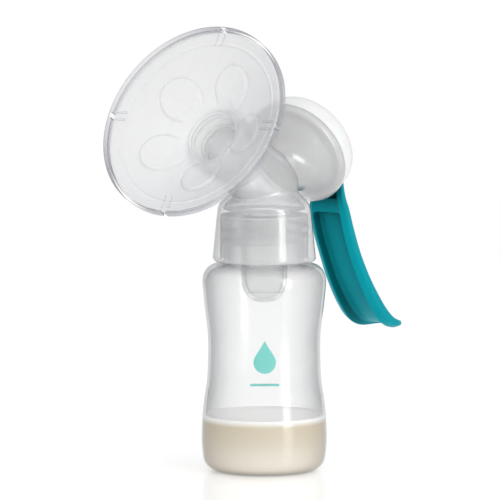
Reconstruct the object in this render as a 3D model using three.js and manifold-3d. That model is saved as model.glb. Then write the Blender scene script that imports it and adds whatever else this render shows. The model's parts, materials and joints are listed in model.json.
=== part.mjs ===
// Manual breast pump: bottle, screw-on pump body, breast shield with silicone cushion and dust cover,
// duckbill valve, diaphragm chamber and a squeeze handle.
// Millimetres, +Z up, origin at the centre of the bottle's base, -X towards the breast shield, +X
// towards the handle.
import * as THREE from 'three';
import Module from 'manifold-3d';

const wasm = await Module();
wasm.setup();

// ---------- driving dimensions ----------
const GAP = 0.3; // running gap between neighbouring pieces
const EMBED = 0.4; // how far a joined feature is sunk into its wall
const ROUND = 40; // facets round a turned piece
const WIDE_ROUND = 60;
const NARROW_ROUND = 28;

// bottle
const BOTTLE_WALL = 1.3;
const BOTTLE_FLOOR = 2.2;
const NECK_R = 17.6;
const NECK_BORE_R = 16.1;
const NECK_FOOT_Z = 94;
const NECK_TOP_Z = 112.6;
const MILK_TOP_Z = 25;
const THREAD_PITCH = 4.3;
const THREAD_TURNS = 2;
const THREAD_START_Z = 98.3;
const THREAD_CREST_R = 19;
const SEAL_R = 17.7; // clears the crest of the collar's thread as the collar comes off

// pump body
const JUNCTION_Z = 127; // where the chamber axis meets the bottle axis
const SHIELD_AXIS_RISE = 1.8; // the shield axis meets it this much higher
const SHIELD_TILT = 30; // degrees above horizontal
const CHAMBER_TILT = 27;
const COLLAR_BORE_R = 19.5;
const COLLAR_CREST_R = 18;
const COLLAR_FOOT_Z = 93.5;
const CEILING_Z = 114.2; // underside of the plate over the bottle neck
const CEILING_T = 2;
const DOME_R = 15;
const DOME_WALL = 1.8;
const SPOUT_R = 8.6;
const SPOUT_BORE_R = 7;
const SPOUT_FOOT_Z = 103;
const SOCKET_R = 14.3;
const SOCKET_BORE_R = 12.7;
const SOCKET_SEAT = 19.5; // along the shield axis from the junction
const SOCKET_MOUTH = 34;
const BOWL_R = 24.8;
const BOWL_LIP = 29.4; // along the chamber axis from the junction
const BOWL_LEDGE = 26.2;
const BOWL_BORE_R = 23.2;

// breast shield, cushion and cover, along the shield axis
const SHIELD_RIM_R = 43.4;
const SHIELD_WALL = 1.65;
const SHIELD_SPIGOT_END = 20;
const SHIELD_NECK_R = 15.2; // the neck between the socket's mouth and the funnel
const SHIELD_NECK_BORE_R = 13.7;
const CUSHION_SLEEVE_END = 32;
const CUSHION_T = 1.5;
const CUSHION_R = 43.1;
const THROAT_MOUTH_R = 12.7;
const THROAT_WALL_R = 12;
const RIDGE_H = 0.7;
const PETALS = 5;
const PETAL_PHASE = 38; // degrees from the side of the funnel
const PETAL_ORBIT_R = 22;
const PETAL_R = 9.3;
const PETAL_RISE = 1.2;
const FUNNEL_SLOPE = 23.9; // degrees from the rim plane
const COVER_R = 45;
const COVER_UNDER = 62.2;
const COVER_T = 1.2;
const COVER_SKIRT_FOOT = 58.8;
const COVER_NOTCHES = 4;
const COVER_NOTCH_W = 2.6;
const COVER_RIB_W = 0.8; // short ribs under the lid, on both sides of each notch
const COVER_RIB_IN = 36.4;
const COVER_RIB_H = 1.1;

// valve
const VALVE_R = 10.2;
const VALVE_WALL = 1.3;
const VALVE_TOP_Z = 112;
const VALVE_TIP_Z = 74.8;
const VALVE_TURN = -54; // degrees of the slit from +X

// diaphragm, stem and cap, along the chamber axis
const RIM_BEAD_T = 1.2;
const FLOOR_S = 19.2;
const STEM_R = 2.2;
const STEM_FLANGE_R = 5;
const PIVOT_S = 45;
const PIVOT_DROP = 18; // handle pivot below the chamber axis
const STEM_GROOVE_W = 3.2;
const STEM_HEAD_R = 4.5;
const CAP_SPIGOT_FOOT = 28;
const CAP_WALL = 1.6;
const LUG_T = 1.8;
const LUG_R = 3.2;
const PIN_R = 1.6;
const PIN_HEAD_R = 2.8;
const PIN_HEAD_T = 1.2;

// handle
const LEVER_W = 16; // across the arms, between the lugs of the cap
const ARM_T = 2;
const ARM_HALF = 2.2;
const NUB_R = 1.2;
const HEAD_FOOT_Z = 112; // the channel is filled in between these two heights
const HEAD_TOP_Z = 118.5;
const CHANNEL_FLOOR = 2;
const LIP_W = 2.6; // the channel's lips slope outwards by LIP_DROP
const LIP_DROP = 1.4;
const LIP_FLAT = 0.5;
const CHANNEL_DRAFT = 1.2;
const TIP_R = 11;

// ---------- helpers ----------
const rad = (deg) => (deg * Math.PI) / 180;

function toSolid(geometry) {
  const g = geometry.clone();
  g.deleteAttribute('normal');
  g.deleteAttribute('uv');
  const m = merge(g);
  let tris = Uint32Array.from(m.index.array);
  if (signedVolume(m.attributes.position.array, tris) < 0) {
    tris = tris.map((v, i) => tris[i - (i % 3) + ((3 - (i % 3)) % 3)]);
  }
  const vertProperties = Float32Array.from(m.attributes.position.array);
  return new wasm.Manifold(new wasm.Mesh({ numProp: 3, vertProperties, triVerts: tris }));
}

function merge(g) {
  const pos = g.attributes.position;
  const n = g.index ? g.index.count : pos.count;
  const seen = new Map();
  const out = [];
  const idx = [];
  for (let i = 0; i < n; i++) {
    const v = g.index ? g.index.getX(i) : i;
    const p = [pos.getX(v), pos.getY(v), pos.getZ(v)];
    const key = p.map((c) => Math.round(c * 1e4)).join();
    if (!seen.has(key)) {
      seen.set(key, out.length / 3);
      out.push(...p);
    }
    idx.push(seen.get(key));
  }
  const kept = [];
  for (let i = 0; i < idx.length; i += 3) {
    const [a, b, c] = [idx[i], idx[i + 1], idx[i + 2]];
    if (a !== b && b !== c && c !== a) kept.push(a, b, c);
  }
  const m = new THREE.BufferGeometry();
  m.setAttribute('position', new THREE.Float32BufferAttribute(out, 3));
  m.setIndex(kept);
  return m;
}

function signedVolume(p, t) {
  let v = 0;
  const at = (i) => new THREE.Vector3(p[3 * i], p[3 * i + 1], p[3 * i + 2]);
  for (let i = 0; i < t.length; i += 3) v += at(t[i]).dot(at(t[i + 1]).cross(at(t[i + 2])));
  return v;
}

// a lathe of [radius, height] points round Z
function turned(points, segments = ROUND) {
  const g = new THREE.LatheGeometry(points.map(([r, z]) => new THREE.Vector2(r, z)), segments);
  return toSolid(g.rotateX(Math.PI / 2));
}

// a turned wall whose profile closes on itself
const ring = (points, segments = ROUND) => turned([...points, points[0]], segments);

const cylinder = (r, z0, z1, segments = ROUND) => turned([[0, z0], [r, z0], [r, z1], [0, z1]], segments);

function box(x0, x1, y0, y1, z0, z1) {
  const g = new THREE.BoxGeometry(x1 - x0, y1 - y0, z1 - z0);
  return toSolid(g.translate((x0 + x1) / 2, (y0 + y1) / 2, (z0 + z1) / 2));
}

// a polygon in the XZ plane with thickness from y0 to y1
function slab(points, y0, y1) {
  const shape = new THREE.Shape(points.map(([x, z]) => new THREE.Vector2(x, z)));
  const g = new THREE.ExtrudeGeometry(shape, { depth: y1 - y0, bevelEnabled: false });
  return toSolid(g.rotateX(Math.PI / 2).translate(0, y1, 0));
}

const disc = (x, z, r, n = 24) =>
  Array.from({ length: n }, (_, i) => [x + r * Math.cos((2 * Math.PI * i) / n),
    z + r * Math.sin((2 * Math.PI * i) / n)]);

// a solid through convex outlines with equal numbers of points, closed at both ends
function loft(outlines) {
  const count = outlines[0].length;
  const last = (outlines.length - 1) * count;
  const index = [];
  for (let k = 1; k < count - 1; k++) index.push(0, k + 1, k, last, last + k, last + k + 1);
  for (let low = 0; low < last; low += count) {
    for (let k = 0; k < count; k++) {
      const n = (k + 1) % count;
      index.push(low + k, low + n, low + count + n, low + k, low + count + n, low + count + k);
    }
  }
  const g = new THREE.BufferGeometry();
  g.setAttribute('position', new THREE.Float32BufferAttribute(outlines.flat(2), 3));
  g.setIndex(index);
  return toSolid(g);
}

// a screw thread: a trapezoid bead swept up a helix, sunk EMBED into its wall
function thread(rootR, crestR, startZ, turns) {
  const dir = Math.sign(crestR - rootR);
  const [rootW, crestW, perTurn] = [1.9, 0.9, 28];
  const corners = [
    [rootR - dir * EMBED, -rootW / 2], [crestR, -crestW / 2], [crestR, crestW / 2],
    [rootR - dir * EMBED, rootW / 2],
  ];
  const steps = turns * perTurn;
  const pos = [];
  const idx = [];
  for (let i = 0; i <= steps; i++) {
    const a = (2 * Math.PI * i) / perTurn;
    for (const [r, z] of corners) pos.push(r * Math.cos(a), r * Math.sin(a),
      z + startZ + (THREAD_PITCH * i) / perTurn);
  }
  for (let i = 0; i < steps; i++) {
    for (let k = 0; k < 4; k++) {
      const [a, b] = [4 * i + k, 4 * i + ((k + 1) % 4)];
      idx.push(a, b, a + 4, b, b + 4, a + 4);
    }
  }
  const last = 4 * steps;
  idx.push(0, 2, 1, 0, 3, 2, last, last + 1, last + 2, last, last + 2, last + 3);
  const g = new THREE.BufferGeometry();
  g.setAttribute('position', new THREE.Float32BufferAttribute(pos, 3));
  g.setIndex(idx);
  return toSolid(g);
}

// places what is built round Z onto an axis leaving the junction; local +Z runs along that axis
const onAxis = (solid, tiltFromUp, z) => solid.rotate([0, tiltFromUp, 0]).translate([0, 0, z]);
const onShieldAxis = (solid) => onAxis(solid, -(90 - SHIELD_TILT), JUNCTION_Z + SHIELD_AXIS_RISE);
const onChamberAxis = (solid) => onAxis(solid, 90 - CHAMBER_TILT, JUNCTION_Z);

const group = new THREE.Group();
group.name = 'breast_pump';

// sub-groups whose local +Z runs along the shield axis and along the chamber axis
function axisGroup(name, tiltFromUp, z) {
  const g = new THREE.Group();
  g.name = name;
  g.position.z = z;
  g.rotation.y = rad(tiltFromUp);
  group.add(g);
  return g;
}
const shieldAxis = axisGroup('shield_axis', -(90 - SHIELD_TILT), JUNCTION_Z + SHIELD_AXIS_RISE);
const chamberAxis = axisGroup('chamber_axis', 90 - CHAMBER_TILT, JUNCTION_Z);

function add(parent, name, solid, color, roughness, opacity = 1) {
  const mesh = solid.getMesh();
  const g = new THREE.BufferGeometry();
  const stride = mesh.numProp;
  const pos = new Float32Array((mesh.vertProperties.length / stride) * 3);
  for (let i = 0; i < pos.length / 3; i++) {
    for (let k = 0; k < 3; k++) pos[3 * i + k] = mesh.vertProperties[stride * i + k];
  }
  g.setAttribute('position', new THREE.BufferAttribute(pos, 3));
  g.setIndex(Array.from(mesh.triVerts));
  const flat = g.toNonIndexed();
  flat.computeVertexNormals();
  const material = new THREE.MeshStandardMaterial({ color, roughness, metalness: 0, opacity,
    transparent: opacity < 1 });
  const node = new THREE.Mesh(flat, material);
  node.name = name;
  parent.add(node);
}

const offsetIn = (points, d) => points.map(([r, z]) => [Math.max(r - d, 0), z]);

// ---------- bottle ----------
const flank = [
  [28, 13.2], [27.6, 23.9], [26.7, 32], [25.3, 40], [24.9, 50.7], [24.9, 58.8], [25.3, 64.1],
  [26.4, 72.2], [26.9, 77.6],
  [27.6, 84.3],
];
const bottleOutside = [
  [0, 0], [22, 0], [24, 1.1], [25.8, 2.5], [27.1, 5.1], ...flank, [26.8, 88.3], [24.6, 91],
  [21.5, 92.2], [18.4, 92.9],
  [NECK_R, NECK_FOOT_Z], [NECK_R, NECK_TOP_Z],
];
const bottleInside = [
  [NECK_BORE_R, NECK_TOP_Z], [NECK_BORE_R, 93.2], [16.6, 91.7], [19, 90.9], [23.4, 89.4], [25.4, 87.2],
  ...offsetIn(flank, BOTTLE_WALL).reverse(), [25.7, 5.6], [24, 3.4], [22, BOTTLE_FLOOR], [0, BOTTLE_FLOOR],
];
const bottleThread = thread(NECK_R, THREAD_CREST_R, THREAD_START_Z, THREAD_TURNS);
add(group, 'bottle', turned([...bottleOutside, ...bottleInside]).add(bottleThread), 0xeef1f2, 0.12, 0.35);

const milkSide = offsetIn(flank.slice(0, 2), BOTTLE_WALL + GAP).map(([r, z], i) => [r, i ? MILK_TOP_Z : z]);
const milkBase = [[0, BOTTLE_FLOOR + GAP], [21.8, BOTTLE_FLOOR + GAP], [23.6, 3.7], [25.2, 5.8]];
add(group, 'milk', turned([...milkBase, ...milkSide, [0, MILK_TOP_Z]]), 0xe9e3d2, 0.35);

const sealBoreR = NECK_BORE_R + 0.1;
const sealTop = CEILING_Z - GAP;
const sealFoot = NECK_TOP_Z + GAP;
const sealWall = [[sealBoreR, sealFoot], [SEAL_R, sealFoot], [SEAL_R, sealTop], [sealBoreR, sealTop]];
add(group, 'neck_seal', ring(sealWall), 0xf4f5f4, 0.6);

// ---------- pump body ----------
const ceilingTop = CEILING_Z + CEILING_T;
const collarOuter = turned([
  [0, COLLAR_FOOT_Z], [22.6, COLLAR_FOOT_Z], [22.9, 94.5], [20.7, 116.5], [20.2, 118.3], [18.8, 120.2],
  [16.5, 122.2],
  [14.8, 124.6], [14.8, JUNCTION_Z], [0, JUNCTION_Z],
]);
const collarCavity = turned([
  [0, ceilingTop], [18.4, ceilingTop], [18, 117.6], [16.9, 119], [14.8, 120.8], [13, 123.6],
  [13, JUNCTION_Z + 1],
  [0, JUNCTION_Z + 1],
]);
const ball = (r) => toSolid(new THREE.SphereGeometry(r, ROUND, ROUND / 2).rotateX(Math.PI / 2)
  .translate(0, 0, JUNCTION_Z));
const abovePlate = box(-60, 60, -60, 60, ceilingTop, 240);
const socket = onShieldAxis(turned([
  [0, 0], [SOCKET_R, 0], [SOCKET_R, SOCKET_MOUTH - 3], [15.2, SOCKET_MOUTH - 2.2], [15.2, SOCKET_MOUTH],
  [0, SOCKET_MOUTH],
]));
const socketBore = onShieldAxis(turned([
  [0, 0], [SOCKET_BORE_R - 1.8, 0], [SOCKET_BORE_R - 1.8, SOCKET_SEAT], [SOCKET_BORE_R, SOCKET_SEAT],
  [SOCKET_BORE_R, SOCKET_MOUTH + 1], [0, SOCKET_MOUTH + 1],
]));
const bowl = onChamberAxis(turned([
  [0, 2], [11.6, 2], [11.8, 10], [13.2, 15], [16.6, 19], [20.6, 22.3], [23.4, 24.6], [BOWL_R - 0.2, 26],
  [BOWL_R, 26.8],
  [BOWL_R, BOWL_LIP - 0.5], [BOWL_R - 0.5, BOWL_LIP], [0, BOWL_LIP],
]));
const bowlCavity = onChamberAxis(turned([
  [0, 2], [9.8, 2], [9.9, 13], [12, 17.4], [16, 21], [19.6, 24], [20.8, BOWL_LEDGE],
  [BOWL_BORE_R, BOWL_LEDGE],
  [BOWL_BORE_R, BOWL_LIP + 1], [0, BOWL_LIP + 1],
]));
const neckRoom = cylinder(COLLAR_BORE_R, COLLAR_FOOT_Z - 1, CEILING_Z);
const spout = ring([
  [SPOUT_BORE_R, SPOUT_FOOT_Z], [SPOUT_R - 0.3, SPOUT_FOOT_Z], [SPOUT_R, SPOUT_FOOT_Z + 0.6],
  [SPOUT_R, CEILING_Z + 0.5],
  [SPOUT_BORE_R, CEILING_Z + 0.5],
]);
const spoutBore = cylinder(SPOUT_BORE_R, SPOUT_FOOT_Z - 1, ceilingTop + 1);
const innerThread = thread(COLLAR_BORE_R, COLLAR_CREST_R, THREAD_START_Z + THREAD_PITCH / 2, THREAD_TURNS);
const pumpBody = collarOuter.add(ball(DOME_R)).add(socket).add(bowl)
  .subtract(collarCavity).subtract(ball(DOME_R - DOME_WALL).intersect(abovePlate))
  .subtract(socketBore.intersect(abovePlate)).subtract(bowlCavity).subtract(neckRoom).add(spout)
  .subtract(spoutBore).add(innerThread);
add(group, 'pump_body', pumpBody, 0xd9dad9, 0.3, 0.7);

// ---------- duckbill valve ----------
const innerR = VALVE_R - VALVE_WALL;
const domeOf = (r, tip) => [[0, tip], [0.4 * r, tip + 0.5], [0.74 * r, tip + 2.6],
  [0.94 * r, tip + 6.2], [r, tip + 10.7]];
const wedge = (half, tip, topW) => slab([
  [-topW, 120], [-topW, tip + 15], [-half, tip - 1], [half, tip - 1], [topW, tip + 15], [topW, 120],
], -20, 20).rotate([0, 0, 90]);
const valveOut = turned([
  ...domeOf(VALVE_R, VALVE_TIP_Z), [VALVE_R, VALVE_TOP_Z - 2.2], [11.6, VALVE_TOP_Z - 2.2],
  [11.6, VALVE_TOP_Z], [0, VALVE_TOP_Z],
], NARROW_ROUND);
const valveIn = turned([...domeOf(innerR, VALVE_TIP_Z + 1.5), [innerR, VALVE_TOP_Z + 1],
  [0, VALVE_TOP_Z + 1]], NARROW_ROUND);
const slit = box(-0.5 * VALVE_R, 0.5 * VALVE_R, -0.25, 0.25, VALVE_TIP_Z - 1, VALVE_TIP_Z + 6);
const valve = valveOut.intersect(wedge(1.7, VALVE_TIP_Z, VALVE_R + 2))
  .subtract(valveIn.intersect(wedge(0.3, VALVE_TIP_Z, VALVE_R + 0.6))).subtract(slit)
  .rotate([0, 0, VALVE_TURN]);
add(group, 'duckbill_valve', valve, 0xdfe4e0, 0.5, 0.8);

// ---------- breast shield, cushion and dust cover ----------
const slope = Math.tan(rad(FUNNEL_SLOPE));
const lean = Math.cos(rad(FUNNEL_SLOPE));
const MOUTH_FRONT = 48.4; // front face of the cushion at the throat's rounded edge
const MOUTH_R = 14;
const funnelFront = (r) => MOUTH_FRONT + (r - MOUTH_R) * slope;
const cushionBack = (r) => funnelFront(r) - CUSHION_T / lean;
const shieldFront = (r) => cushionBack(r) - GAP / lean;
const shieldBack = (r) => shieldFront(r) - SHIELD_WALL;
const onLine = (line, ...radii) => radii.map((r) => [r, line(r)]);
const shieldSpigotR = SOCKET_BORE_R - GAP;
const shieldBoreR = shieldSpigotR - 1.3;
const flangeFoot = SOCKET_MOUTH + 0.4;
const shield = ring([
  [shieldBoreR, SHIELD_SPIGOT_END], [shieldSpigotR, SHIELD_SPIGOT_END], [shieldSpigotR, flangeFoot],
  [SHIELD_NECK_R, flangeFoot], [SHIELD_NECK_R, 43.6], ...onLine(shieldBack, 17, 30, 42.2),
  [SHIELD_RIM_R, shieldBack(SHIELD_RIM_R) + 0.4], ...onLine(shieldFront, SHIELD_RIM_R, 30, 17),
  [14.9, 46.3], [SHIELD_NECK_BORE_R, 44.6], [SHIELD_NECK_BORE_R, 38.9], [shieldBoreR, 37.3],
]);
add(shieldAxis, 'breast_shield', shield, 0xe9ebec, 0.15, 0.35);

const sleeveR = shieldBoreR - GAP;
const throatR = sleeveR - 1.3;
const cushionNeckR = SHIELD_NECK_BORE_R - GAP;
const ridgesAt = (r, ...heights) => heights.flatMap((t) => [[r, t + 0.8], [r - RIDGE_H, t], [r, t - 0.8]]);
const cushionShell = ring([
  [sleeveR, CUSHION_SLEEVE_END], [sleeveR, 37.4], [cushionNeckR, 39.1], [cushionNeckR, 44.8], [14.6, 46.7],
  ...onLine(cushionBack, 17, 30), [CUSHION_R - 0.3, cushionBack(CUSHION_R - 0.3)],
  [CUSHION_R, cushionBack(CUSHION_R) + 0.3],
  ...onLine(funnelFront, CUSHION_R, 30, 17), [MOUTH_R, MOUTH_FRONT - 0.2], [THROAT_MOUTH_R, 47.2],
  [THROAT_WALL_R, 46.2],
  ...ridgesAt(THROAT_WALL_R, 44.6, 42.2), [THROAT_WALL_R, 40.4], [throatR, 38.8],
  ...ridgesAt(throatR, 36.8, 34.6), [throatR, CUSHION_SLEEVE_END],
]);
let cushion = cushionShell;
for (let i = 0; i < PETALS; i++) {
  const pad = toSolid(new THREE.SphereGeometry(1, 16, 8)).scale([PETAL_R, PETAL_R, PETAL_RISE]);
  cushion = cushion.add(pad.rotate([0, -FUNNEL_SLOPE, 0])
    .translate([PETAL_ORBIT_R, 0, funnelFront(PETAL_ORBIT_R)])
    .rotate([0, 0, 90 - PETAL_PHASE + (360 / PETALS) * i]));
}
add(shieldAxis, 'massage_cushion', cushion, 0xf1f2f1, 0.55, 0.9);

const coverFront = COVER_UNDER + COVER_T;
let cover = turned([
  [0, COVER_UNDER], [SHIELD_RIM_R + GAP, COVER_UNDER], [SHIELD_RIM_R + GAP, COVER_SKIRT_FOOT],
  [COVER_R, COVER_SKIRT_FOOT],
  [COVER_R, coverFront - 0.8], [COVER_R - 0.8, coverFront], [0, coverFront],
], WIDE_ROUND);
for (let i = 0; i < COVER_NOTCHES; i++) {
  const turn = [0, 0, (360 / COVER_NOTCHES) * i];
  const half = COVER_NOTCH_W / 2;
  cover = cover.subtract(box(SHIELD_RIM_R - 0.6, COVER_R + 1, -half, half, COVER_SKIRT_FOOT - 1,
    COVER_UNDER).rotate(turn));
  for (const y of [-half - COVER_RIB_W, half]) {
    cover = cover.add(box(COVER_RIB_IN, SHIELD_RIM_R - 1.5, y, y + COVER_RIB_W,
      COVER_UNDER - COVER_RIB_H, COVER_UNDER + EMBED).rotate(turn));
  }
}
add(shieldAxis, 'dust_cover', cover, 0xf3f5f7, 0.06, 0.2);

// ---------- diaphragm and stem ----------
const beadFoot = BOWL_LEDGE + GAP;
const beadTop = beadFoot + RIM_BEAD_T;
const diaphragm = ring([
  [STEM_R + GAP, FLOOR_S], [9.6, FLOOR_S], [12, 20.3], [15.6, 23.3], [18.2, 25.7], [18.8, beadFoot],
  [BOWL_BORE_R - GAP, beadFoot], [BOWL_BORE_R - GAP, beadTop], [18, beadTop], [17.1, 26.4],
  [14.9, 24.3], [11.5, 21.5],
  [9.3, 20.4], [STEM_R + GAP, 20.4],
]);
add(chamberAxis, 'diaphragm', diaphragm, 0xf0f1ef, 0.6, 0.9);

const grooveFoot = PIVOT_S - STEM_GROOVE_W / 2;
const grooveTop = PIVOT_S + STEM_GROOVE_W / 2;
const stem = turned([
  [0, FLOOR_S - 1.9], [STEM_FLANGE_R - 0.6, FLOOR_S - 1.9], [STEM_FLANGE_R, FLOOR_S - 1.3],
  [STEM_FLANGE_R, FLOOR_S - GAP],
  [STEM_R, FLOOR_S - GAP], [STEM_R, 20.7], [STEM_FLANGE_R, 20.7], [STEM_FLANGE_R - 0.4, 21.9],
  [STEM_R, 22.6],
  [STEM_R, grooveFoot - 0.9], [STEM_HEAD_R - 1.6, grooveFoot - 0.9], [STEM_HEAD_R - 1.6, grooveFoot],
  [STEM_R, grooveFoot], [STEM_R, grooveTop], [STEM_HEAD_R, grooveTop], [STEM_HEAD_R, grooveTop + 1.2],
  [STEM_HEAD_R - 1, grooveTop + 2], [0, grooveTop + 2.3],
], NARROW_ROUND);
add(chamberAxis, 'diaphragm_stem', stem, 0xe8eae9, 0.35);

// ---------- chamber cap and pivot pin ----------
const capOutside = [
  [BOWL_BORE_R - GAP - 0.1, CAP_SPIGOT_FOOT], [BOWL_BORE_R - GAP - 0.1, BOWL_LIP + GAP],
  [24.3, BOWL_LIP + GAP], [24.4, 33],
  [23.9, 36.3], [22.5, 38.9], [19.9, 40.7], [15.5, 41.5], [3.4, 41.8],
];
const capInside = [
  [3.4, 40.2], [14.6, 39.9], [18.8, 39.2], [21.2, 37.8], [22.3, 35.8], [22.7, 33],
  [BOWL_BORE_R - CAP_WALL - 0.4, 31],
  [BOWL_BORE_R - CAP_WALL - 0.4, CAP_SPIGOT_FOOT],
];
const lugOutline = [
  [11.5, 40.6], [PIVOT_DROP - LUG_R, PIVOT_S], ...disc(PIVOT_DROP, PIVOT_S, LUG_R).slice(0, 13).reverse(),
  [PIVOT_DROP + LUG_R, PIVOT_S], [21.2, 40], [19.5, 38.6], [17, 39.6],
].filter(([x, z], i, all) => !i || Math.hypot(x - all[i - 1][0], z - all[i - 1][1]) > 0.01);
const lugIn = LEVER_W / 2 + 0.4;
let cap = ring([...capOutside, ...capInside]);
const capFull = turned([[0, CAP_SPIGOT_FOOT], ...capInside.slice().reverse(), [0, 40.2]]);
for (const y of [-lugIn - LUG_T, lugIn]) cap = cap.add(slab(lugOutline, y, y + LUG_T).subtract(capFull));
const pinHole = (r, half) => slab(disc(PIVOT_DROP, PIVOT_S, r), -half, half);
cap = cap.subtract(pinHole(PIN_R + GAP, 14));
add(chamberAxis, 'chamber_cap', cap, 0xf2f3f3, 0.35, 0.85);

const pinEnd = lugIn + LUG_T + GAP;
const pin = pinHole(PIN_R, pinEnd)
  .add(slab(disc(PIVOT_DROP, PIVOT_S, PIN_HEAD_R), pinEnd - 0.1, pinEnd + PIN_HEAD_T));
add(chamberAxis, 'pivot_pin', pin, 0xdfe2e3, 0.3);

// ---------- handle ----------
// spine of the handle seen from the side: outer face, then depth of the side walls and half width
const spine = [
  [51.3, 131.6, 3.2, 8], [50.9, 126, 3.7, 8], [51.4, 118.5, 4.8, 8.9], [52.9, 112.6, 5.6, 10],
  [56.2, 103.5, 6.1, 10.3], [61.4, 92.3, 6.1, 10.4], [68.1, 80.8, 6.2, 10.9], [75.9, 70.7, 6.6, 11.2],
  [82.7, 63.9, 6.4, 11.2], [89.5, 59.6, 4.6, 11], [99.5, 56.8, 1.9, 11],
];
const throughSpine = (column) => new THREE.CatmullRomCurve3(
  spine.map((row) => new THREE.Vector3(row[0], row[column], row[1])), false, 'centripetal');
const depthCurve = throughSpine(2);
const widthCurve = throughSpine(3);
const SPINE_STEPS = 30;
const stations = depthCurve.getPoints(SPINE_STEPS).map((p, i) => {
  const t = depthCurve.getTangent(i / SPINE_STEPS);
  const len = Math.hypot(t.x, t.z);
  const half = widthCurve.getPoint(i / SPINE_STEPS).y;
  return { x: p.x, z: p.z, depth: p.y, half, nx: t.z / len, nz: -t.x / len };
});
const placed = (s, outline) => outline.map(([y, n]) => [s.x + s.nx * n, y, s.z + s.nz * n]);
const blade = loft(stations.map((s) => {
  const drop = Math.min(LIP_DROP, 0.25 * s.depth);
  return placed(s, [
    [-s.half, 0], [s.half, 0], [s.half, s.depth - drop], [s.half - LIP_W, s.depth],
    [LIP_W - s.half, s.depth], [-s.half, s.depth - drop],
  ]);
}));
const channel = loft(stations.filter((s) => s.depth > CHANNEL_FLOOR + LIP_FLAT).map((s) => {
  const open = s.half - LIP_W - LIP_FLAT;
  return placed(s, [
    [CHANNEL_DRAFT - open, CHANNEL_FLOOR], [open - CHANNEL_DRAFT, CHANNEL_FLOOR],
    [open, s.depth], [open, s.depth + 3], [-open, s.depth + 3], [-open, s.depth],
  ]);
}));
const head = box(0, 110, -20, 20, HEAD_FOOT_Z, HEAD_TOP_Z);
let handle = blade.subtract(channel.subtract(head));
// rounded end
const tip = stations[SPINE_STEPS];
const tipAngle = (Math.atan2(-tip.nz, -tip.nx) * 180) / Math.PI;
const atTip = (shape) => shape.rotate([0, 90 - tipAngle, 0])
  .translate([tip.x + tip.nz * TIP_R, 0, tip.z - tip.nx * TIP_R]);
handle = handle.intersect(atTip(cylinder(TIP_R, -30, 30)).add(atTip(box(-150, 0, -20, 20, -60, 200))));
// arms from the pivot to the stem, in chamber axes
const armEnd = ARM_HALF;
const arm = [
  [-armEnd, PIVOT_S - 0.6], [-armEnd + 0.6, PIVOT_S - ARM_HALF], [PIVOT_DROP, PIVOT_S - ARM_HALF],
  [PIVOT_DROP, PIVOT_S + ARM_HALF + 0.8],
  [4, PIVOT_S + ARM_HALF], [-armEnd + 0.6, PIVOT_S + ARM_HALF], [-armEnd, PIVOT_S + 0.6],
];
const leverHalf = LEVER_W / 2;
let lever = pinHole(LUG_R - 0.6, leverHalf);
for (const side of [-1, 1]) {
  const [y0, y1] = [side * (leverHalf - ARM_T), side * leverHalf].sort((a, b) => a - b);
  const [n0, n1] = [side * (STEM_R + 0.4), side * (leverHalf - ARM_T + 0.2)]
    .sort((a, b) => a - b);
  lever = lever.add(slab(arm, y0, y1)).add(slab(disc(0, PIVOT_S, NUB_R, 20), n0, n1));
}
handle = handle.add(onChamberAxis(lever)).subtract(onChamberAxis(pinHole(PIN_R + GAP, 14)));
add(group, 'handle', handle, 0x0f8c9b, 0.35);

export default group;
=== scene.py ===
"""Breast pump: the visible pieces, materials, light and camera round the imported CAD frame.

Lengths are written in millimetres and turned into metres where a mesh is made. Turned pieces are drawn
as half profiles of (radius, height) points round one of three axes: the bottle's, the breast shield's
and the diaphragm chamber's.
"""

import json
import math

import bmesh
import bpy
from mathutils import Matrix, Vector


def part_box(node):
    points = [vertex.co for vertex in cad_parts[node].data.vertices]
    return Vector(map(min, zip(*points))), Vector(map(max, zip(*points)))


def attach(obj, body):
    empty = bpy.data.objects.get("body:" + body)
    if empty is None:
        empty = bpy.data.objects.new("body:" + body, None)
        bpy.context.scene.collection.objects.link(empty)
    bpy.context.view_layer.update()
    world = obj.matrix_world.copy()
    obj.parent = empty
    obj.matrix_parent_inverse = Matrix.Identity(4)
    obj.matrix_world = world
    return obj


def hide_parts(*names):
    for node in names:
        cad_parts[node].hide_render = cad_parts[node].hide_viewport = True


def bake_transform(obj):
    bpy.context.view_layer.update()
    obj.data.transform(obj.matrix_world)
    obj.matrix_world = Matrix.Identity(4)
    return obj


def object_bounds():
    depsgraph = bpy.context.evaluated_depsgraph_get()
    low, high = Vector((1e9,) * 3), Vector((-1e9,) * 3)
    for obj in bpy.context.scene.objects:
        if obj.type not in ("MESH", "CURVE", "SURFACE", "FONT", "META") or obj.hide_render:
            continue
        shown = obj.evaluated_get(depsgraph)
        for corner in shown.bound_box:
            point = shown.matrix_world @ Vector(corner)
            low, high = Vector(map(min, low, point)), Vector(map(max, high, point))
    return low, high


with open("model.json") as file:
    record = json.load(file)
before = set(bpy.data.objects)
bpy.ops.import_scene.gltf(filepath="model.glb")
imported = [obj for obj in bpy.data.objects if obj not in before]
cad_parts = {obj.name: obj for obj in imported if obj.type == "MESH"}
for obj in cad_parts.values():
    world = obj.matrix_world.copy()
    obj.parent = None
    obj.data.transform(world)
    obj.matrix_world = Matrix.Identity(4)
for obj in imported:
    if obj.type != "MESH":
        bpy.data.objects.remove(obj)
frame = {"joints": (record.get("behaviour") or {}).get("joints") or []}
cad_low, cad_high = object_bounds()
MM = 0.001
GAP = 0.3  # running gap between neighbouring pieces

# ---------- axes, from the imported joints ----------
joints = {j["name"]: j for j in frame["joints"]}
JUNCTION = Vector(joints["handle_swivel"]["pos_m"])
SHIELD_AXIS_RISE = 1.8  # the shield's axis meets the bottle's axis this far above the chamber's
SHIELD_FOOT = JUNCTION + Vector((0, 0, SHIELD_AXIS_RISE * MM))


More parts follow.
